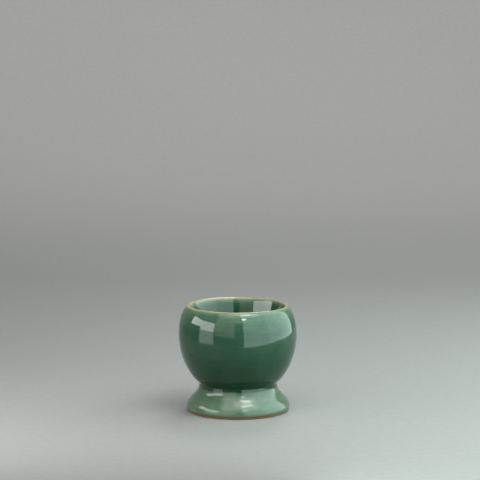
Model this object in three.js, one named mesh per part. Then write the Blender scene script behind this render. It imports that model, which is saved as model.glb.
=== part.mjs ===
// A small stoneware desk pot with a green celadon glaze: a round bowl, closed in
// at the mouth, on a separately thrown, flared foot ring that is luted to it with slip.
// Every piece is turned about the same axis.
// Millimetres, +Z up. The origin is the centre of the foot's resting face.
import * as THREE from 'three';

// ---- Driving dimensions ----

const HEIGHT = 90.33;             // resting face to the crest of the lip
const BELLY_RADIUS = 50;          // widest glazed radius
const BELLY_HEIGHT = 66;
const WAIST_RADIUS = 33.25;       // glazed radius where the foot meets the bowl
const WAIST_HEIGHT = 22.1;
const FOOT_RADIUS = 43.9;         // widest glazed radius of the flared foot
const FOOT_EDGE_HEIGHT = 3.2;

const BELLY_START_RADIUS = 33.42; // where the crease at the waist ends and the belly begins
const BELLY_START_HEIGHT = 24.2;

const LIP_CREST_RADIUS = 41.5;
const LIP_ROUND = 1.5;            // radius of the rounded lip

const THROAT_RADIUS = 36.3;       // the inside narrows from the lip to the throat,
const THROAT_HEIGHT = 70;
const HOLLOW_RADIUS = 38.6;       // and widens again below it
const HOLLOW_HEIGHT = 56;
const BOWL_FLOOR_HEIGHT = 28.6;   // inside the bowl, on its glaze

const REST_OUTER_RADIUS = 42.2;   // the flat, unglazed resting ring
const REST_INNER_RADIUS = 37.4;
const GLAZE_LINE = 1.9;           // the glaze is wiped off below this height
const GLAZE_LINE_RADIUS = 42.85;  // of the clay at that height
const RECESS_GLAZE_LINE = 2.2;    // the same line inside the foot

const BOWL_BASE_HEIGHT = 22.6;    // the bowl's turned underside, in the clay
const FOOT_TOP_HEIGHT = 22.2;     // the foot ring's top face, in the clay
const RECESS_RADIUS = 27.4;       // the hollow inside the foot, at its top
const RECESS_CEILING_HEIGHT = 22; // under the glazed underside of the bowl
const RECESS_CORNER = 2.4;        // fillet between the recess's ceiling and wall
const RECESS_LIP = 0.4;           // how far its glaze ends inside the resting ring

const INNER_GLAZE_DEPTH = 0.6;
const RECESS_GLAZE_DEPTH = 0.5;
const LIP_GLAZE_DEPTH = 0.3;      // glaze runs thin over the lip,
const THIN_GLAZE_REACH = 10;      // and inside it for this far down
const SEAM = 0.05;                // hair gap between neighbouring pieces

const SEGMENTS = 40;              // facets round the axis

// Headings of the outlines in degrees, with 0 away from the axis.
const UP = 90;
const INWARD = 180;
const DOWN = 270;
const WAIST_HEADING = 93;
const BELLY_START_HEADING = 42.8;
const LIP_HEADING = 136;          // of the shoulder where the lip begins
const MOUTH_HEADING = 254;        // of the inside where the lip ends

// How far the handles of each bend pull, at its start and at its end.
const FLARE_PULLS = [7.8, 8.1];
const CREASE_PULLS = [1.3, 0.6];
const LOWER_BELLY_PULLS = [11.7, 19.7];
const SHOULDER_PULLS = [3.4, 9.6];
const MOUTH_PULLS = [6, 7];
const THROAT_PULLS = [4.5, 5];
const HOLLOW_PULLS = [18, 24];
const RECESS_PULLS = [7.1, 6.8];

// Height and depth of the outer glaze: thick where it gathers at the foot's edge
// and in the waist, thin towards the lip.
const OUTER_GLAZE_DEPTHS = [
  [0, 0.9],
  [12, 0.7],
  [23.5, 1.1],
  [34, 0.8],
  [75, 0.6],
  [HEIGHT, LIP_GLAZE_DEPTH],
];

// ---- Outlines: points are (radius, height), each with its outward normal ----

const point = (radius, height) => new THREE.Vector2(radius, height);

function moved(place, heading, distance) {
  const angle = THREE.MathUtils.degToRad(heading);
  return place.clone().addScaledVector(point(Math.cos(angle), Math.sin(angle)), distance);
}

// Samples of a curve that runs with the piece on its left.
function outline(curve, steps) {
  const samples = [];
  for (let step = 0; step <= steps; step += 1) {
    const tangent = curve.getTangent(step / steps);
    samples.push({
      place: curve.getPoint(step / steps),
      normal: point(tangent.y, -tangent.x),
    });
  }
  return samples;
}

// A smooth bend from one place and heading to another.
function bend(start, startHeading, end, endHeading, [startPull, endPull], steps) {
  return outline(new THREE.CubicBezierCurve(
    start,
    moved(start, startHeading, startPull),
    moved(end, endHeading, -endPull),
    end,
  ), steps);
}

// Joins outlines end to end, and keeps one of each pair of meeting samples.
const join = (...parts) => parts.flatMap((part, index) => (index === 0 ? part : part.slice(1)));

const places = (samples) => samples.map((sample) => sample.place);

// The outline moved into the material by a depth that may vary with height.
function inset(samples, depthAt) {
  return samples.map(({ place, normal }) => ({
    place: place.clone().addScaledVector(normal, -depthAt(place.y)),
    normal,
  }));
}

function outerGlazeDepth(height) {
  const last = OUTER_GLAZE_DEPTHS.length - 1;
  const next = OUTER_GLAZE_DEPTHS.findIndex(([level]) => level >= height);
  const index = THREE.MathUtils.clamp(next, 1, last);
  const [lowLevel, lowDepth] = OUTER_GLAZE_DEPTHS[index - 1];
  const [highLevel, highDepth] = OUTER_GLAZE_DEPTHS[index];
  return THREE.MathUtils.mapLinear(height, lowLevel, highLevel, lowDepth, highDepth);
}

function innerGlazeDepth(height) {
  const nearLip = THREE.MathUtils.smoothstep(height, HEIGHT - THIN_GLAZE_REACH, HEIGHT);
  return THREE.MathUtils.lerp(INNER_GLAZE_DEPTH, LIP_GLAZE_DEPTH, nearLip);
}

// ---- The glazed surface, from the foot's edge up to the lip and down inside ----

const footEdge = point(FOOT_RADIUS, FOOT_EDGE_HEIGHT);
const waist = point(WAIST_RADIUS, WAIST_HEIGHT);
const bellyStart = point(BELLY_START_RADIUS, BELLY_START_HEIGHT);
const belly = point(BELLY_RADIUS, BELLY_HEIGHT);
const lipCentre = point(LIP_CREST_RADIUS, HEIGHT - LIP_ROUND);
const throat = point(THROAT_RADIUS, THROAT_HEIGHT);
const hollow = point(HOLLOW_RADIUS, HOLLOW_HEIGHT);
const floorCentre = point(0, BOWL_FLOOR_HEIGHT);

// Part of the round lip. The surface's heading is a quarter turn on from its normal.
function lipArc(startHeading, endHeading, steps) {
  return outline(new THREE.EllipseCurve(
    lipCentre.x, lipCentre.y, LIP_ROUND, LIP_ROUND,
    THREE.MathUtils.degToRad(startHeading - UP),
    THREE.MathUtils.degToRad(endHeading - UP),
  ), steps);
}

const lipOuter = lipArc(LIP_HEADING, INWARD, 2);
const lipInner = lipArc(INWARD, MOUTH_HEADING, 3);
const shoulderEnd = lipOuter[0].place;
const mouth = lipInner[lipInner.length - 1].place;

const footRoll = outline(new THREE.QuadraticBezierCurve(
  point(GLAZE_LINE_RADIUS + 2 * SEAM, GLAZE_LINE),
  point(FOOT_RADIUS, GLAZE_LINE),
  footEdge,
), 2);

const flare = bend(footEdge, UP, waist, WAIST_HEADING, FLARE_PULLS, 6);
const crease = bend(waist, WAIST_HEADING, bellyStart, BELLY_START_HEADING, CREASE_PULLS, 3);
const lowerBelly = bend(bellyStart, BELLY_START_HEADING, belly, UP, LOWER_BELLY_PULLS, 7);
const shoulder = bend(belly, UP, shoulderEnd, LIP_HEADING, SHOULDER_PULLS, 5);
const mouthWall = bend(mouth, MOUTH_HEADING, throat, DOWN, MOUTH_PULLS, 5);
const throatWall = bend(throat, DOWN, hollow, DOWN, THROAT_PULLS, 4);
const bowlFloor = bend(hollow, DOWN, floorCentre, INWARD, HOLLOW_PULLS, 8);

// The recess under the bowl, from the axis out and down the inside of the foot.
const ceilingEnd = point(RECESS_RADIUS - RECESS_CORNER, RECESS_CEILING_HEIGHT);
const recessWallTop = point(RECESS_RADIUS, RECESS_CEILING_HEIGHT - RECESS_CORNER);
const recessWallEnd = point(REST_INNER_RADIUS - RECESS_LIP, RECESS_GLAZE_LINE);

const recessCeiling = outline(new THREE.LineCurve(
  point(0, RECESS_CEILING_HEIGHT),
  ceilingEnd,
), 1);

const recessCorner = outline(new THREE.QuadraticBezierCurve(
  ceilingEnd,
  point(RECESS_RADIUS, RECESS_CEILING_HEIGHT),
  recessWallTop,
), 3);

const recessWall = bend(recessWallTop, DOWN, recessWallEnd, DOWN, RECESS_PULLS, 5);

// ---- The clay under the glaze ----

const clayFlare = inset(flare, outerGlazeDepth);
const clayCrease = inset(crease, outerGlazeDepth);
const clayBelly = inset(join(lowerBelly, shoulder, lipOuter), outerGlazeDepth);
const glazedInside = join(lipInner, mouthWall, throatWall, bowlFloor);
const clayInside = inset(glazedInside, innerGlazeDepth);
const clayRecess = inset(recessWall, () => RECESS_GLAZE_DEPTH);

const bellySlope = THREE.MathUtils.degToRad(BELLY_START_HEADING);
const bellyRun = (clayBelly[0].place.y - BOWL_BASE_HEIGHT) / Math.tan(bellySlope);
const bowlBaseRadius = clayBelly[0].place.x - bellyRun;
const footTopRadius = clayFlare[clayFlare.length - 1].place.x;
const footBoreRadius = RECESS_RADIUS + RECESS_GLAZE_DEPTH;

// A closed section has its first point again at its end.
const closed = (section) => [...section, section[0].clone()];

// The back of a coat of glaze, a seam's width clear of the clay, run the other way.
const backOf = (surface, depthAt) => (
  places(inset(surface, (height) => depthAt(height) - SEAM)).reverse()
);

const bowlSection = [
  point(0, BOWL_BASE_HEIGHT),
  point(bowlBaseRadius, BOWL_BASE_HEIGHT),
  ...places(join(clayBelly, clayInside)),
];

const footSection = closed([
  point(REST_INNER_RADIUS, 0),
  point(REST_OUTER_RADIUS, 0),
  point(GLAZE_LINE_RADIUS, GLAZE_LINE - SEAM),
  ...places(clayFlare),
  point(footTopRadius, FOOT_TOP_HEIGHT),
  point(footBoreRadius, FOOT_TOP_HEIGHT),
  ...places(clayRecess),
]);

// The slip fills the groove between the foot's top face and the bowl's underside.
const slipSection = closed([
  point(footBoreRadius, FOOT_TOP_HEIGHT + SEAM),
  point(footTopRadius, FOOT_TOP_HEIGHT + SEAM),
  ...places(clayCrease).slice(1, -1),
  clayBelly[0].place.clone().addScaledVector(clayBelly[0].normal, SEAM),
  point(bowlBaseRadius + SEAM, BOWL_BASE_HEIGHT - SEAM),
  point(footBoreRadius, BOWL_BASE_HEIGHT - SEAM),
]);

const glazedOutside = join(flare, crease, lowerBelly, shoulder, lipOuter);
const outerGlazeSection = closed([
  ...places(join(footRoll, glazedOutside)),
  ...backOf(glazedOutside, outerGlazeDepth),
]);

const innerGlazeSection = [
  ...backOf(glazedInside, innerGlazeDepth),
  ...places(glazedInside),
];

const recessBack = backOf(recessWall, () => RECESS_GLAZE_DEPTH);
const recessBackTop = BOWL_BASE_HEIGHT - 2 * SEAM;
const undersideGlazeSection = [
  ...places(join(recessCeiling, recessCorner, recessWall)),
  ...recessBack,
  point(recessBack[recessBack.length - 1].x, recessBackTop),
  point(0, recessBackTop),
];

// ---- Materials ----

const clay = new THREE.MeshStandardMaterial({ color: 0x8a6a4a, roughness: 0.85, metalness: 0 });
const slip = new THREE.MeshStandardMaterial({ color: 0x9a7d5c, roughness: 0.9, metalness: 0 });
const glaze = new THREE.MeshStandardMaterial({ color: 0x4c7a63, roughness: 0.12, metalness: 0 });
const recessGlaze = new THREE.MeshStandardMaterial({ color: 0x6c9377, roughness: 0.2, metalness: 0 });

// ---- Pieces ----

// A solid of revolution. The section runs with its material on the left.
function turned(name, section, material) {
  const geometry = new THREE.LatheGeometry(section, SEGMENTS);
  geometry.rotateX(Math.PI / 2);
  const piece = new THREE.Mesh(geometry, material);
  piece.name = name;
  return piece;
}

const pot = new THREE.Group();
pot.add(turned('bowl', bowlSection, clay));
pot.add(turned('foot_ring', footSection, clay));
pot.add(turned('luting_slip', slipSection, slip));
pot.add(turned('outer_glaze', outerGlazeSection, glaze));
pot.add(turned('inner_glaze', innerGlazeSection, glaze));
pot.add(turned('underside_glaze', undersideGlazeSection, recessGlaze));

export default pot;
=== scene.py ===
"""A small green-glazed stoneware pot: a round bowl on a flared foot, on a pale studio floor.

Metres, +Z up. The origin is the centre of the foot's resting face. The outlines of the turned
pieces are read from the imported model's nodes, smoothed, and turned again as fine meshes.
"""

import math
from collections import defaultdict

import bmesh
import bpy
import numpy as np
from mathutils import Euler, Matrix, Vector


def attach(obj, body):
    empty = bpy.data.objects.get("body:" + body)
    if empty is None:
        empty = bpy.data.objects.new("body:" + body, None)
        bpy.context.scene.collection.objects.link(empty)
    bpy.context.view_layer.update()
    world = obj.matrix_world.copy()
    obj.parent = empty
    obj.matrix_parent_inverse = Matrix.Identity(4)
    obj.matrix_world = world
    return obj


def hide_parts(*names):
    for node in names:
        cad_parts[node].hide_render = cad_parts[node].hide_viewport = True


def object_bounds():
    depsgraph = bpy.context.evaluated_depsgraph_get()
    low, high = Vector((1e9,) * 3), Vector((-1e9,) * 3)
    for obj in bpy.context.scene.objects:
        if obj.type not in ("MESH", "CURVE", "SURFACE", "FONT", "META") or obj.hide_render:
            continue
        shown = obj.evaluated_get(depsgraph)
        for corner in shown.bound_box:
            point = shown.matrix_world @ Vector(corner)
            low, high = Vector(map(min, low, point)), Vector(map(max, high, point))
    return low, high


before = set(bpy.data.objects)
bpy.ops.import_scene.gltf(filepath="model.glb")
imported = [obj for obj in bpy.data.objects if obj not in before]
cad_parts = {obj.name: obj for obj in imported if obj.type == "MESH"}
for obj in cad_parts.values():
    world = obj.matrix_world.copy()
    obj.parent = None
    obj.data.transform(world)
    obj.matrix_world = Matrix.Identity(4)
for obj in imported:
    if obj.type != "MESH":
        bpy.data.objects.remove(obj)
cad_low, cad_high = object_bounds()

MM = 0.001
HEIGHT = cad_high.z
MIDDLE = Vector((0, 0, HEIGHT / 2))

SEGMENTS = 320                    # quads round a turned piece
ROW_SPACING = 0.9 * MM            # along a face that shows
HIDDEN_SPACING = 2.5 * MM
ROW_TURN = math.radians(5)        # rows come closer where the outline bends
CREST_ROW = 0.02 * MM             # a last thin row at the lip, so that the two glazes shade as one
CORNER_TURN = math.radians(38)    # a sharper turn than this in a section is a real corner
CORNER_ROWS = 6                   # in a rounded corner
SHARP_TURN = math.radians(30)     # a sharper turn than this in a mesh shades as an edge
PLANE_SLACK = 0.01 * MM           # how near counts as on the half-plane that is read, or on the axis
CLAY_EDGE = 0.45 * MM             # rounding of the foot's edges
GLAZE_EDGE = 0.2 * MM             # rounding of the thin glaze's edge inside the foot
GLAZE_BITE = 0.15 * MM            # how far the outer glaze's lower edge sinks into the clay


# ---- Outlines: arrays of (radius, height) rows, with the material on the left ----

def signed_area(rows):
    """Positive where the outline runs counter-clockwise."""
    ahead = np.roll(rows, -1, axis=0)
    return 0.5 * np.sum(rows[:, 0] * ahead[:, 1] - ahead[:, 0] * rows[:, 1])


def section(node):
    """The outline of a turned CAD node. It starts and ends on the axis, or it is closed and
    starts at its lowest, outermost point, which isn't repeated at the end."""
    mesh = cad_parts[node].data
    spots = {}
    for vertex in mesh.vertices:
        x, y, z = vertex.co
        if abs(y) < PLANE_SLACK and x > -PLANE_SLACK:
            spots[vertex.index] = (round(max(x, 0.0), 6), round(z, 6))
    links = defaultdict(set)
    for edge in mesh.edges:
        a, b = (spots.get(index) for index in edge.vertices)
        if a and b and a != b:
            links[a].add(b)
            links[b].add(a)
    ends = sorted(spot for spot in links if len(links[spot]) == 1)
    start = ends[0] if ends else min(links, key=lambda spot: (spot[1], -spot[0]))
    path = [start, sorted(links[start])[0]]
    while path[-1] != start:
        onward = [spot for spot in links[path[-1]] if spot != path[-2]]
        if not onward:
            break
        path.append(onward[0])
    rows = np.array(path if ends else path[:-1])
    if signed_area(rows) > 0:
        return rows
    return rows[::-1] if ends else np.roll(rows[::-1], 1, axis=0)


def turns(rows):
    """How far the outline turns at each row but the first and last, in radians."""
    steps = np.diff(rows, axis=0)
    headings = np.arctan2(steps[:, 1], steps[:, 0])
    return np.abs((np.diff(headings) + math.pi) % (2 * math.pi) - math.pi)


def eased(rows, index, radius):
    """The outline with the corner at index rounded off."""
    before, corner, after = rows[index - 1], rows[index], rows[(index + 1) % len(rows)]
    start = corner + radius * (before - corner) / np.linalg.norm(before - corner)
    end = corner + radius * (after - corner) / np.linalg.norm(after - corner)
    t = np.linspace(0, 1, CORNER_ROWS)[:, None]
    bend = (1 - t) ** 2 * start + 2 * t * (1 - t) * corner + t ** 2 * end
    return np.concatenate([rows[:index], bend, rows[index + 1:]])


def spline(points, count=4000):
    """A natural cubic spline through the points, as a dense line."""
    chords = np.concatenate([[0], np.cumsum(np.linalg.norm(np.diff(points, axis=0), axis=1))])
    gaps = np.diff(chords)
    last = len(points) - 1
    matrix, right = np.eye(last + 1), np.zeros((last + 1, 2))
    for i in range(1, last):
        matrix[i, i - 1:i + 2] = gaps[i - 1], 2 * (gaps[i - 1] + gaps[i]), gaps[i]
        slopes = (points[i + 1] - points[i]) / gaps[i], (points[i] - points[i - 1]) / gaps[i - 1]
        right[i] = 6 * (slopes[0] - slopes[1])
    bends = np.linalg.solve(matrix, right)
    where = np.unique(np.concatenate([np.linspace(0, chords[-1], count), chords]))
    i = np.clip(np.searchsorted(chords, where, side="right") - 1, 0, last - 1)
    gap = gaps[i][:, None]
    ahead = (chords[i + 1] - where)[:, None]
    behind = (where - chords[i])[:, None]
    return (
        (bends[i] * ahead ** 3 + bends[i + 1] * behind ** 3) / (6 * gap)
        + (points[i] / gap - bends[i] * gap / 6) * ahead
        + (points[i + 1] / gap - bends[i + 1] * gap / 6) * behind
    )


def spaced(line, spacing):
    """Rows picked from a dense line: a spacing apart, and closer where it bends."""
    lengths = np.linalg.norm(np.diff(line, axis=0), axis=1)
    bends = np.concatenate([turns(line), [0]])
    cost = np.concatenate([[0], np.cumsum(lengths / spacing + bends / ROW_TURN)])
    count = max(2, math.ceil(cost[-1]) + 1)
    wanted = np.linspace(0, cost[-1], count)
    return np.stack([np.interp(wanted, cost, line[:, axis]) for axis in (0, 1)], axis=1)


def smoothed(rows, spacing):
    """An outline with every stretch between two corners made smooth and finely divided."""
    corners = [0, *(np.nonzero(turns(rows) > CORNER_TURN)[0] + 1), len(rows) - 1]
    stretches = [
        spaced(spline(rows[start:end + 1]), spacing)[:-1]
        for start, end in zip(corners, corners[1:])
    ]
    return np.concatenate([*stretches, rows[-1:]])


def closed(rows):
    """The outline with its first row repeated at the end."""
    return np.concatenate([rows, rows[:1]])


def glazed_line():
    """The surface of the glaze outside and inside, each from its far end to the crest of the lip.

    One spline runs over the crest, and the axis mirrors its end so that the floor is smooth.
    """
    outer, inner = section("outer_glaze"), section("inner_glaze")
    outer_face = outer[:outer[:, 1].argmax() + 1]
    inner_face = inner[inner[:, 1].argmax():]
    mirrored = inner_face[-2:-5:-1] * (-1, 1)
    line = spline(np.concatenate([outer_face, inner_face[1:], mirrored]))
    line = line[:np.argmax(line[:, 0] < 0)]
    line[-1, 0] = 0
    crest = line[:, 1].argmax()
    return line[:crest + 1], line[crest:]


# ---- The maker's hand ----

WAVES = 10                        # summed in a ripple,
WAVES_HEIGHT = 3                  # which would otherwise be about this high


def ripple(seed, angle, along, around, length):
    """Smooth waves, about 1 high, with up to so many round the pot and none shorter than length."""
    random = np.random.default_rng(seed)
    total = 0
    for _ in range(WAVES):
        pitch = random.uniform(-1, 1) / length
        phase = random.uniform(0, 2 * math.pi)
        count = random.integers(0, around + 1)
        total = total + np.sin(count * angle + 2 * math.pi * pitch * along + phase)
    return total / WAVES_HEIGHT


def smoothstep(low, high, value):
    """0 below low, 1 above high, and a smooth rise between them."""
    t = np.clip((value - low) / (high - low), 0, 1)
    return t * t * (3 - 2 * t)


LEAN = -0.65 * MM                 # the mouth stands this far off the foot's centre, along X
TILT = -0.0055                    # the mouth's slope along X
OVAL = 0.0035                     # how far from round the mouth is,
OVAL_TURN = 0.35                  # and where its long way lies, in radians from X
SWELL = 0.05 * MM                 # height of the glaze's swells,
SWELL_LENGTH = 30 * MM            # and the shortest of them
OUTER_RING = 0.006 * MM           # height of the turning rings under the outer glaze,
INNER_RING = 0.02 * MM            # and under the inner glaze,
RING_LENGTH = 5 * MM              # and the closest that they come
TRIM_RING = 0.03 * MM             # depth of the trimming rings on the resting face,
TRIM_PITCH = 1.1 * MM             # from one to the next,
SANDINESS = 0.05 * MM             # and of the unevenness between them
SLOW_WANDER = 0.22 * MM           # of the glaze's wiped edge, a few times round the foot,
QUICK_WANDER = 0.07 * MM          # and many times
EDGE_SPREAD = 0.35                # how far outward the wiped edge moves for each step upward


def handmade(spots):
    """The small lean, tilt and oval that a thrown pot keeps. The resting face stays flat."""
    x, y, z = spots.T
    rise = z / HEIGHT
    angle = np.arctan2(y, x)
    stretch = 1 + OVAL * rise * np.cos(2 * (angle - OVAL_TURN))
    lifted = z + TILT * x * smoothstep(0.5, 1.0, rise)
    return np.stack([x * stretch + LEAN * rise, y * stretch, lifted], axis=1)


def glaze_relief(angle, rows):
    """Faint turning rings and soft swells under the glaze, with none at the lip's crest."""
    radius, height = rows[:, 0][:, None], rows[:, 1][:, None]
    along = np.concatenate([[0], np.cumsum(np.linalg.norm(np.diff(rows, axis=0), axis=1))])
    crest = rows[:, 1].argmax()
    from_crest = np.abs(along - along[crest])[:, None]
    inside = crest == 0
    rings = ripple(11 + inside, angle, from_crest, 1, RING_LENGTH)
    swells = ripple(21 + inside, angle, from_crest, 5, SWELL_LENGTH)
    ring_size = INNER_RING if inside else OUTER_RING
    fade = smoothstep(0, 5 * MM, from_crest) * smoothstep(0, 12 * MM, radius)
    return fade * smoothstep(0, 3 * MM, height) * (ring_size * rings + SWELL * swells)


def clay_relief(angle, rows):
    """Trimming rings on and beside the resting face, pressed in, and a sandy unevenness."""
    radius, height = rows[:, 0][:, None], rows[:, 1][:, None]
    low = 1 - smoothstep(1.5 * MM, 3 * MM, height)
    rings = 0.5 + 0.5 * np.sin(2 * math.pi * radius / TRIM_PITCH + angle)
    uneven = 0.5 + 0.25 * ripple(31, angle, radius + height, 40, 2 * MM)
    return -low * (TRIM_RING * rings + SANDINESS * uneven)


def glaze_line_wave(spots):
    """Lets the wiped edge of the glaze above the resting face wander up and down."""
    x, y, z = spots.T
    angle = np.arctan2(y, x)
    wave = SLOW_WANDER * ripple(41, angle, 0, 5, MM) + QUICK_WANDER * ripple(42, angle, 0, 24, MM)
    shift = wave * (1 - smoothstep(2 * MM, 8 * MM, z))
    outward = 1 + EDGE_SPREAD * shift / np.hypot(x, y)
    return np.stack([x * outward, y * outward, z + shift], axis=1)


# ---- Turned pieces ----

def turned(name, stretches, reshape=None):
    """A closed solid of revolution.

    Each stretch of its outline is (rows, relief), and relief(angle, rows) moves the rows along
    their normals. The last row joins the first, unless both lie on the axis.
    """
    rows = np.concatenate([stretch for stretch, _ in stretches])
    count = len(rows)
    on_axis = rows[0, 0] < PLANE_SLACK
    around = rows if on_axis else np.concatenate([rows[-1:], rows, rows[:1]])
    slopes = np.gradient(around, axis=0)
    slopes = slopes if on_axis else slopes[1:-1]
    normals = np.stack([slopes[:, 1], -slopes[:, 0]], axis=1)
    normals /= np.linalg.norm(normals, axis=1)[:, None]

    angle = 2 * math.pi * np.arange(SEGMENTS)[None, :] / SEGMENTS
    offsets = np.concatenate([
        relief(angle, stretch) if relief else np.zeros((len(stretch), SEGMENTS))
        for stretch, relief in stretches
    ])
    radius = rows[:, :1] + offsets * normals[:, :1]
    height = np.maximum(rows[:, 1:] + offsets * normals[:, 1:], 0)
    spots = np.stack([radius * np.cos(angle), radius * np.sin(angle), height], axis=2)
    spots = spots.reshape(-1, 3)
    spots = handmade(reshape(spots) if reshape else spots)

    ring = np.arange(count * SEGMENTS).reshape(count, SEGMENTS)
    if on_axis:
        ring[0], ring[-1] = ring[0, 0], ring[-1, 0]
        below, above = ring[:-1], ring[1:]
    else:
        below, above = ring, np.roll(ring, -1, axis=0)
    quads = np.stack([below, np.roll(below, -1, 1), np.roll(above, -1, 1), above], axis=2)
    faces = [list(dict.fromkeys(quad)) for quad in quads.reshape(-1, 4).tolist()]

    mesh = bpy.data.meshes.new(name)
    mesh.from_pydata(spots.tolist(), [], faces)
    mark_sharp(mesh, set(np.nonzero(turns(around) > SHARP_TURN)[0] + on_axis))
    mesh.shade_smooth()
    drop_loose(mesh)
    piece = bpy.data.objects.new(name, mesh)
    bpy.context.scene.collection.objects.link(piece)
    return piece


def mark_sharp(mesh, rings):
    """Marks the edges that run round the piece in these rings of vertices."""
    ends = np.zeros(2 * len(mesh.edges), dtype=int)
    mesh.edges.foreach_get("vertices", ends)
    first, second = (ends // SEGMENTS).reshape(-1, 2).T
    sharp = (first == second) & np.isin(first, list(rings))
    mesh.attributes.new("sharp_edge", "BOOLEAN", "EDGE").data.foreach_set("value", sharp)


def drop_loose(mesh):
    """Removes the spare vertices of a ring that shrank to one point on the axis."""
    edit = bmesh.new()
    edit.from_mesh(mesh)
    spare = [vertex for vertex in edit.verts if not vertex.link_faces]
    bmesh.ops.delete(edit, geom=spare, context="VERTS")
    edit.to_mesh(mesh)
    edit.free()


# ---- Materials: colours are linear, and scales count features in a metre, about ----

def node(tree, kind, inputs=None, **settings):
    """A shader node. An input is another node's output to link, or a value to set."""
    made = tree.nodes.new(kind)
    for name, value in settings.items():
        setattr(made, name, value)
    for key, value in (inputs or {}).items():
        socket = made.inputs[key]
        if isinstance(value, bpy.types.NodeSocket):
            tree.links.new(value, socket)
        else:
            socket.default_value = value
    return made


def maths(tree, operation, *values, clamp=False):
    """The result of a Math node."""
    inputs = dict(enumerate(values))
    return node(tree, "ShaderNodeMath", inputs, operation=operation, use_clamp=clamp).outputs[0]


def ramp(tree, factor, stops):
    """A ramp. Each stop is a place and a plain value or a colour."""
    made = node(tree, "ShaderNodeValToRGB", {"Fac": factor})
    elements = made.color_ramp.elements
    while len(elements) < len(stops):
        elements.new(1)
    for element, (place, colour) in zip(elements, stops):
        element.position = place
        red, green, blue = colour if isinstance(colour, tuple) else (colour,) * 3
        element.color = (red, green, blue, 1)
    return made.outputs["Color"]


def noise(tree, where, scale, detail=3.0, roughness=0.5):
    """Noise centred on 0, about 1 high."""
    made = node(tree, "ShaderNodeTexNoise", {
        "Vector": where, "Scale": scale, "Detail": detail, "Roughness": roughness,
    })
    return maths(tree, "MULTIPLY_ADD", made.outputs["Fac"], 2.0, -1.0)


def new_material(name):
    """A material, with its node tree, shader, place on the object and share of its height."""
    material = bpy.data.materials.new(name)
    material.use_nodes = True
    tree = material.node_tree
    shader = tree.nodes["Principled BSDF"]
    where = node(tree, "ShaderNodeTexCoord").outputs["Object"]
    height = node(tree, "ShaderNodeSeparateXYZ", {0: where}).outputs["Z"]
    return material, tree, shader, where, maths(tree, "DIVIDE", height, HEIGHT)


# How deep the glaze looks at each height, as a share of the pot's: thin over the lip and on
# the foot, deep where it pools in the waist and on the bowl's floor. Some of it is painted shade.
# Outside, the belly grows deeper downward, which partly paints in the shade on the lower belly.
OUTER_DEPTHS_AND_SHADE = [
    (0.000, 0.30), (0.045, 0.34), (0.120, 0.36), (0.205, 0.34), (0.224, 0.38), (0.236, 0.66),
    (0.245, 1.00), (0.285, 0.96), (0.400, 0.90), (0.550, 0.82), (0.700, 0.72), (0.820, 0.60),
    (0.900, 0.53), (0.965, 0.46), (0.984, 0.34), (0.995, 0.16), (1.000, 0.00),
]
# Inside, the glaze is deeper than outside at the same height, which paints in the shade of the mouth's
# hollow.
INNER_DEPTHS_AND_SHADE = [
    (0.000, 1.00), (0.600, 0.95), (0.800, 0.82), (0.900, 0.74), (0.945, 0.60), (0.970, 0.38),
    (0.985, 0.18), (1.000, 0.00),
]
# The colour at each depth, from straw to deep green.
GLAZE_COLOURS = [
    (0.00, (0.300, 0.255, 0.140)),
    (0.14, (0.215, 0.225, 0.130)),
    (0.30, (0.088, 0.142, 0.090)),
    (0.50, (0.038, 0.088, 0.054)),
    (0.65, (0.017, 0.058, 0.034)),
    (0.80, (0.008, 0.045, 0.022)),
    (0.92, (0.004, 0.037, 0.014)),
    (1.00, (0.002, 0.031, 0.010)),
]
# How rough the glaze is at each height: rougher on the foot than above the waist.
GLAZE_ROUGHNESS = [(0.0, 0.17), (0.21, 0.14), (0.245, 0.075), (1.0, 0.075)]
CLOUD_ROUGHNESS = 0.02
GLAZE_IOR = 1.52
CLOUD_SCALE = 70.0
CLOUD_SHARE = 1.6                 # of the mottling,
FINE_SHARE = 0.7                  # where the bands' share is 1
BAND_SCALE = 420.0
BAND_STRETCH = (0.12, 0.12, 1.0)  # drawn out round the pot
FINE_SCALE = 900.0
SKIN_SCALE = 420.0
SKIN_HEIGHT = 0.004 * MM
PIT_DEPTH = 6.0                   # times the skin's height
IRON_COLOUR = (0.045, 0.032, 0.018, 1.0)

# Small dots, as the scale of their cells, their size in a cell and the share of cells with one.
IRON_SPECKS = 150.0, 0.035, 0.22
PITS = 260.0, 0.05, 0.10
SAND_GRAINS = 700.0, 0.18, 0.16

# The bare clay's colour at each height, from the resting face up.
CLAY_COLOURS = [
    (0.000, (0.230, 0.145, 0.080)),
    (0.012, (0.230, 0.130, 0.062)),
    (0.022, (0.190, 0.085, 0.034)),
    (0.040, (0.150, 0.062, 0.026)),
]
GRAIN_COLOUR = (0.06, 0.035, 0.02, 1.0)
STAIN_SCALE = 120.0
STAIN_STRENGTH = 0.14             # how far stains and sand change the colour's brightness
SAND_SCALE = 2200.0
SAND_STRENGTH = 0.30
SAND_HEIGHT = 0.05 * MM
CLAY_ROUGHNESS = 0.82
SAND_ROUGHNESS = 0.08

PAPER_COLOURS = [(0.2, (0.245, 0.245, 0.240)), (0.8, (0.270, 0.270, 0.264))]
PAPER_ROUGHNESS = 0.95
PAPER_SPECULAR = 0.1
FIBRE_SCALE = 160.0


def specks(tree, where, scale, size, share):
    """1 inside a scatter of small dots, one in the given share of cells, and 0 elsewhere."""
    cells = node(tree, "ShaderNodeTexVoronoi", {"Vector": where, "Scale": scale})
    chosen = node(tree, "ShaderNodeSeparateColor", {0: cells.outputs["Color"]}).outputs["Red"]
    kept = maths(tree, "LESS_THAN", chosen, share)
    inside = node(tree, "ShaderNodeMapRange", {
        "Value": cells.outputs["Distance"], "From Min": size, "From Max": size * 0.4,
    }).outputs["Result"]
    return maths(tree, "MULTIPLY", kept, inside, clamp=True)


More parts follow.
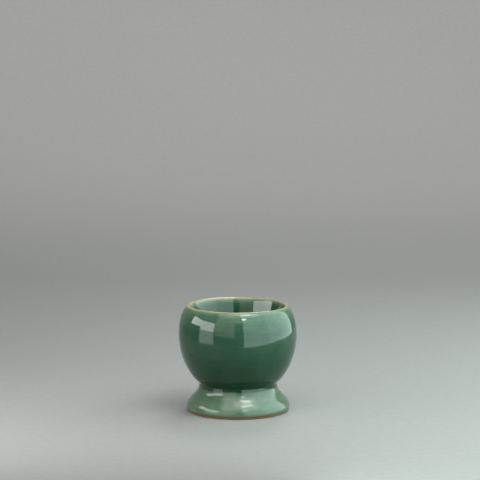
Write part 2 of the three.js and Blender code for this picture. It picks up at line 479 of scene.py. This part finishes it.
def glaze_material(name, depths_and_shade, shift=0.0, mottle=0.10):
    """Celadon glaze, clear green over a pale body: its colour follows how deep it is, with painted
    shade on the lower belly and inside the mouth.
    """
    material, tree, shader, where, height = new_material(name)
    clouds = noise(tree, where, CLOUD_SCALE)
    drawn_out = node(tree, "ShaderNodeVectorMath", {0: where, 1: BAND_STRETCH}, operation="MULTIPLY")
    bands = noise(tree, drawn_out.outputs[0], BAND_SCALE)
    fine = noise(tree, where, FINE_SCALE, detail=2.0)
    uneven = maths(tree, "MULTIPLY_ADD", clouds, mottle * CLOUD_SHARE, shift)
    uneven = maths(tree, "MULTIPLY_ADD", bands, mottle, uneven)
    uneven = maths(tree, "MULTIPLY_ADD", fine, mottle * FINE_SHARE, uneven)
    # This value holds the painted shade of the lower belly and of the inside of the mouth.
    depth_and_shade = maths(tree, "ADD", ramp(tree, height, depths_and_shade), uneven, clamp=True)
    colour = ramp(tree, depth_and_shade, GLAZE_COLOURS)
    iron = specks(tree, where, *IRON_SPECKS)
    spotted = node(tree, "ShaderNodeMix", {0: iron, 6: colour, 7: IRON_COLOUR}, data_type="RGBA")
    tree.links.new(spotted.outputs[2], shader.inputs["Base Color"])

    pits = specks(tree, where, *PITS)
    skin = noise(tree, where, SKIN_SCALE, detail=2.0)
    skin = maths(tree, "MULTIPLY_ADD", pits, -PIT_DEPTH, skin)
    bump = node(tree, "ShaderNodeBump", {"Height": skin, "Distance": SKIN_HEIGHT, "Strength": 1.0})
    tree.links.new(bump.outputs[0], shader.inputs["Normal"])
    roughness = ramp(tree, height, GLAZE_ROUGHNESS)
    roughness = maths(tree, "MULTIPLY_ADD", clouds, CLOUD_ROUGHNESS, roughness)
    tree.links.new(roughness, shader.inputs["Roughness"])
    shader.inputs["IOR"].default_value = GLAZE_IOR
    return material


def clay_material(name, paleness=1.0):
    """Bare fired stoneware: sandy buff, toasted orange next to the glaze, with dark grains."""
    material, tree, shader, where, height = new_material(name)
    stains = noise(tree, where, STAIN_SCALE)
    sand = noise(tree, where, SAND_SCALE, roughness=0.7)
    shade = maths(tree, "MULTIPLY_ADD", stains, STAIN_STRENGTH, paleness)
    shade = maths(tree, "MULTIPLY_ADD", sand, SAND_STRENGTH, shade)
    toast = ramp(tree, height, CLAY_COLOURS)
    shaded = node(tree, "ShaderNodeVectorMath", {0: toast, 3: shade}, operation="SCALE").outputs[0]
    grains = specks(tree, where, *SAND_GRAINS)
    grained = node(tree, "ShaderNodeMix", {0: grains, 6: shaded, 7: GRAIN_COLOUR}, data_type="RGBA")
    tree.links.new(grained.outputs[2], shader.inputs["Base Color"])

    bump = node(tree, "ShaderNodeBump", {"Height": sand, "Distance": SAND_HEIGHT, "Strength": 1.0})
    tree.links.new(bump.outputs[0], shader.inputs["Normal"])
    roughness = maths(tree, "MULTIPLY_ADD", sand, SAND_ROUGHNESS, CLAY_ROUGHNESS)
    tree.links.new(roughness, shader.inputs["Roughness"])
    return material


def paper_material(name):
    """Matt grey paper with faint fibres."""
    material, tree, shader, where, _ = new_material(name)
    fibres = noise(tree, where, FIBRE_SCALE, detail=4.0)
    fibres = maths(tree, "MULTIPLY_ADD", fibres, 0.5, 0.5)
    tree.links.new(ramp(tree, fibres, PAPER_COLOURS), shader.inputs["Base Color"])
    shader.inputs["Roughness"].default_value = PAPER_ROUGHNESS
    shader.inputs["Specular IOR Level"].default_value = PAPER_SPECULAR
    return material


# ---- The pot ----

def finish_piece(piece, cad_node, material):
    """Gives a piece its material, puts it under the root body and hides the CAD node that it replaces.
    """
    piece.data.materials.append(material)
    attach(piece, "root")
    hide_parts(cad_node)


def make_glaze_coats(outer_celadon, inner_celadon):
    """The outer and inner coats share one surface, which parts at the crest of the lip."""
    outer, inner = section("outer_glaze"), section("inner_glaze")
    outer_back = smoothed(outer[outer[:, 1].argmax() + 1:], HIDDEN_SPACING)
    inner_back = smoothed(inner[:inner[:, 1].argmax()], HIDDEN_SPACING)
    outside, inside = (spaced(line, ROW_SPACING) for line in glazed_line())
    crest = outside[-1]
    outside[-1] = crest + (CREST_ROW, 0)
    inside[0] = crest - (CREST_ROW, 0)
    edge_in_clay = outside[:1] - (GLAZE_BITE, 0)
    outside = np.concatenate([edge_in_clay, outside, [crest]])
    inside = np.concatenate([[crest], inside])

    coat = turned("outer_glaze_coat", [(outside, glaze_relief), (outer_back, None)], glaze_line_wave)
    finish_piece(coat, "outer_glaze", outer_celadon)
    coat = turned("inner_glaze_coat", [(inner_back, None), (inside, glaze_relief)])
    finish_piece(coat, "inner_glaze", inner_celadon)


def make_underside_coat(thin_celadon):
    """The thin coat in the hollow of the foot."""
    rows = section("underside_glaze")
    rows = eased(rows, rows[:, 1].argmin(), GLAZE_EDGE)
    coat = turned("underside_glaze_coat", [(smoothed(rows, HIDDEN_SPACING / 2), None)])
    finish_piece(coat, "underside_glaze", thin_celadon)


def make_clay(clay, slip):
    """The bowl, the foot with its lowest two corners rounded, and the slip between them."""
    bowl = turned("thrown_bowl", [(smoothed(section("bowl"), HIDDEN_SPACING), None)])
    finish_piece(bowl, "bowl", clay)

    rows = section("foot_ring")
    top_inside = np.lexsort([rows[:, 0], -rows[:, 1]])[0]
    rows = closed(np.roll(rows, -top_inside, axis=0))
    for _ in range(2):
        corner = np.lexsort([-turns(rows), rows[1:-1, 1]])[0] + 1
        rows = eased(rows, corner, CLAY_EDGE)
    foot = turned("thrown_foot", [(smoothed(rows, ROW_SPACING)[:-1], clay_relief)])
    finish_piece(foot, "foot_ring", clay)

    ring = turned("slip_ring", [(smoothed(closed(section("luting_slip")), HIDDEN_SPACING)[:-1], None)])
    finish_piece(ring, "luting_slip", slip)


make_glaze_coats(
    glaze_material("green_glaze", OUTER_DEPTHS_AND_SHADE),
    glaze_material("inner_green_glaze", INNER_DEPTHS_AND_SHADE),
)
make_underside_coat(glaze_material("thin_green_glaze", OUTER_DEPTHS_AND_SHADE, shift=-0.08, mottle=0.12))
make_clay(clay_material("fired_clay"), clay_material("fired_slip", paleness=1.5))


# ---- Studio: azimuths count from the camera towards its right, in degrees ----

FLOOR_LEVEL = -0.05 * MM          # just clear of the resting face
FLAT_RADII = (0, 0.25, 0.8)       # of the rings of vertices on its flat part
FLOOR_RADIUS = 1.6                # of the whole flat part
COVE_RADIUS = 2.4
COVE_STEP = 6                     # degrees from ring to ring
WALL_TOP = 3.2
FLOOR_SIDES = 128

WHITE = (1.0, 1.0, 1.0)
COOL = (0.82, 1.0, 0.97)
STRAW = (1.0, 1.0, 0.80)
CREAM = (1.0, 0.97, 0.86)
AMBIENT = (0.06, 0.06, 0.06, 1)

# Where the panels stand, as (azimuth, distance), and how high their lower and upper edges are.
RIGHT_STANDS = [(11, 0.27), (35, 0.30), (60, 0.36)]
FAR_RIGHT_STANDS = [(60, 0.36), (83, 0.46), (106, 0.60), (128, 0.80)]
LEFT_STANDS = [(-44, 0.34), (-59, 0.33), (-74, 0.34)]
FAR_LEFT_STANDS = [(-74, 0.34), (-100, 0.34)]
FRONT_LOW_STANDS = [(-45, 1.5), (-25, 1.5), (-5, 1.5)]
FRONT_HIGH_STANDS = [(-45, 1.5), (-17, 1.5), (11, 1.5)]
RIGHT_EDGES = 0, 0.95
LEFT_LOW_EDGES = 0, 0.106
LEFT_EDGES = 0.106, 0.224
FAR_LEFT_EDGES = 0.135, 0.224
FRONT_LOW_EDGES = 0.05, 0.95
FRONT_HIGH_EDGES = 0.95, 1.7


def make_floor():
    """A pale round floor that curves up into a low wall."""
    rows = [(radius, FLOOR_LEVEL) for radius in FLAT_RADII]
    for degrees in range(0, 91, COVE_STEP):
        bend = math.radians(degrees)
        outward, rise = COVE_RADIUS * math.sin(bend), COVE_RADIUS * (1 - math.cos(bend))
        rows.append((FLOOR_RADIUS + outward, FLOOR_LEVEL + rise))
    rows.append((FLOOR_RADIUS + COVE_RADIUS, WALL_TOP))

    radius, height = np.array(rows).T[:, :, None]
    angle = 2 * math.pi * np.arange(FLOOR_SIDES)[None, :] / FLOOR_SIDES
    height = np.broadcast_to(height, (len(rows), FLOOR_SIDES))
    spots = np.stack([radius * np.cos(angle), radius * np.sin(angle), height], axis=2)
    ring = np.arange(len(rows) * FLOOR_SIDES).reshape(len(rows), FLOOR_SIDES)
    inner, outer = ring[:-1], ring[1:]
    quads = np.stack([inner, np.roll(inner, -1, 1), np.roll(outer, -1, 1), outer], axis=2)

    mesh = bpy.data.meshes.new("studio_floor")
    mesh.from_pydata(spots.reshape(-1, 3).tolist(), [], quads.reshape(-1, 4).tolist())
    mesh.shade_smooth()
    mesh.materials.append(paper_material("pale_paper"))
    floor = bpy.data.objects.new("studio_floor", mesh)
    bpy.context.scene.collection.objects.link(floor)


def soft_box(name, place, facing, size, radiance, colour=WHITE):
    """A rectangular area light of this width and height, which the camera doesn't see."""
    width, height = size
    light = bpy.data.lights.new(name, "AREA")
    light.shape = "RECTANGLE"
    light.size, light.size_y = width, height
    light.energy = math.pi * width * height * radiance
    light.color = colour
    box = bpy.data.objects.new(name, light)
    box.location = place
    box.rotation_euler = Vector(facing).to_track_quat("-Z", "Y").to_euler()
    box.visible_camera = False
    bpy.context.scene.collection.objects.link(box)
    return box


def direction(azimuth, elevation=0):
    """The way from the pot to this azimuth and elevation."""
    turn, rise = math.radians(azimuth), math.radians(elevation)
    return Vector((math.sin(turn) * math.cos(rise), -math.cos(turn) * math.cos(rise), math.sin(rise)))


def panel(name, stands, edges, radiance, colour=WHITE, two_sided=False):
    """Upright soft boxes end to end, from stand to stand, facing the pot.

    A two-sided one lights the floor behind it too, which leaves only a faint line where it stands.
    """
    low, high = edges
    spots = [distance * direction(azimuth) for azimuth, distance in stands]
    for number, (start, end) in enumerate(zip(spots, spots[1:]), 1):
        across = end - start
        inward = Vector((-across.y, across.x, 0))
        if inward.dot(start) > 0:
            inward.negate()
        place = (start + end) / 2 + Vector((0, 0, (low + high) / 2))
        size = across.length, high - low
        soft_box(f"{name}_{number}", place, inward, size, radiance, colour)
        if two_sided:
            soft_box(f"{name}_back_{number}", place, -inward, size, radiance, colour)


def high_box(name, azimuth, elevation, distance, size, radiance, colour=WHITE):
    """An oval soft box that looks down at the pot.

    It is as powerful as the rectangle of its size, so its radiance is 4 / pi times as high.
    """
    out = direction(azimuth, elevation)
    box = soft_box(name, MIDDLE + out * distance, -out, size, radiance, colour)
    box.data.shape = "ELLIPSE"


def make_panels():
    """The upright panels whose reflections show on the belly and inside the mouth."""
    panel("right_panel", RIGHT_STANDS, RIGHT_EDGES, 2.4, COOL, two_sided=True)
    panel("far_right_panel", FAR_RIGHT_STANDS, RIGHT_EDGES, 3.1, COOL, two_sided=True)
    panel("left_panel", LEFT_STANDS, LEFT_EDGES, 5.4)
    panel("left_low_panel", LEFT_STANDS, LEFT_LOW_EDGES, 1.8, two_sided=True)
    panel("left_far_panel", FAR_LEFT_STANDS, FAR_LEFT_EDGES, 5.4)
    panel("front_low_panel", FRONT_LOW_STANDS, FRONT_LOW_EDGES, 0.9, STRAW)
    panel("front_high_panel", FRONT_HIGH_STANDS, FRONT_HIGH_EDGES, 1.2, STRAW)


def make_boxes():
    """The oval boxes above the pot, and a rectangular one that lights the wall behind it."""
    high_box("spot_box", 17, 43.5, distance=2.4, size=(0.34, 0.26), radiance=12.0)
    high_box("strip_box", 32, 63, distance=0.45, size=(0.20, 0.035), radiance=11.0, colour=CREAM)
    high_box("high_strip_box", 10, 70, distance=0.75, size=(0.36, 0.05), radiance=3.5, colour=CREAM)
    high_box("top_box", 5, 68, distance=2.2, size=(2.8, 1.5), radiance=1.8)
    high_box("rear_top_box", 165, 52, distance=2.5, size=(0.8, 1.1), radiance=9.0)
    soft_box("backdrop_box", Vector((0, 1.4, 2.2)), facing=(0, 1, -0.3), size=(3.0, 0.8), radiance=11.0)


def make_ambient():
    """A dim, even light from everywhere."""
    world = bpy.data.worlds.new("studio")
    world.use_nodes = True
    world.node_tree.nodes["Background"].inputs["Color"].default_value = AMBIENT
    bpy.context.scene.world = world


make_floor()
make_panels()
make_boxes()
make_ambient()
bpy.context.scene.view_settings.view_transform = "Standard"


# ---- Camera ----

CAMERA_DISTANCE = 1.8
CAMERA_RISE = math.radians(10.626)
TILT_UP = math.radians(3.171)     # it looks this far above the pot's middle,
TURN_RIGHT = math.radians(0.049)  # and this far to its right
LENS = 158.66                     # millimetres
FARTHEST = 50                     # metres that the camera sees

camera = bpy.data.cameras.new("camera")
camera.lens = LENS
camera.clip_end = FARTHEST
viewer = bpy.data.objects.new("camera", camera)
back = Vector((0, -math.cos(CAMERA_RISE), math.sin(CAMERA_RISE)))
viewer.location = MIDDLE + CAMERA_DISTANCE * back
viewer.rotation_euler = Euler((math.pi / 2 - CAMERA_RISE + TILT_UP, 0, -TURN_RIGHT))
bpy.context.scene.collection.objects.link(viewer)
bpy.context.scene.camera = viewer
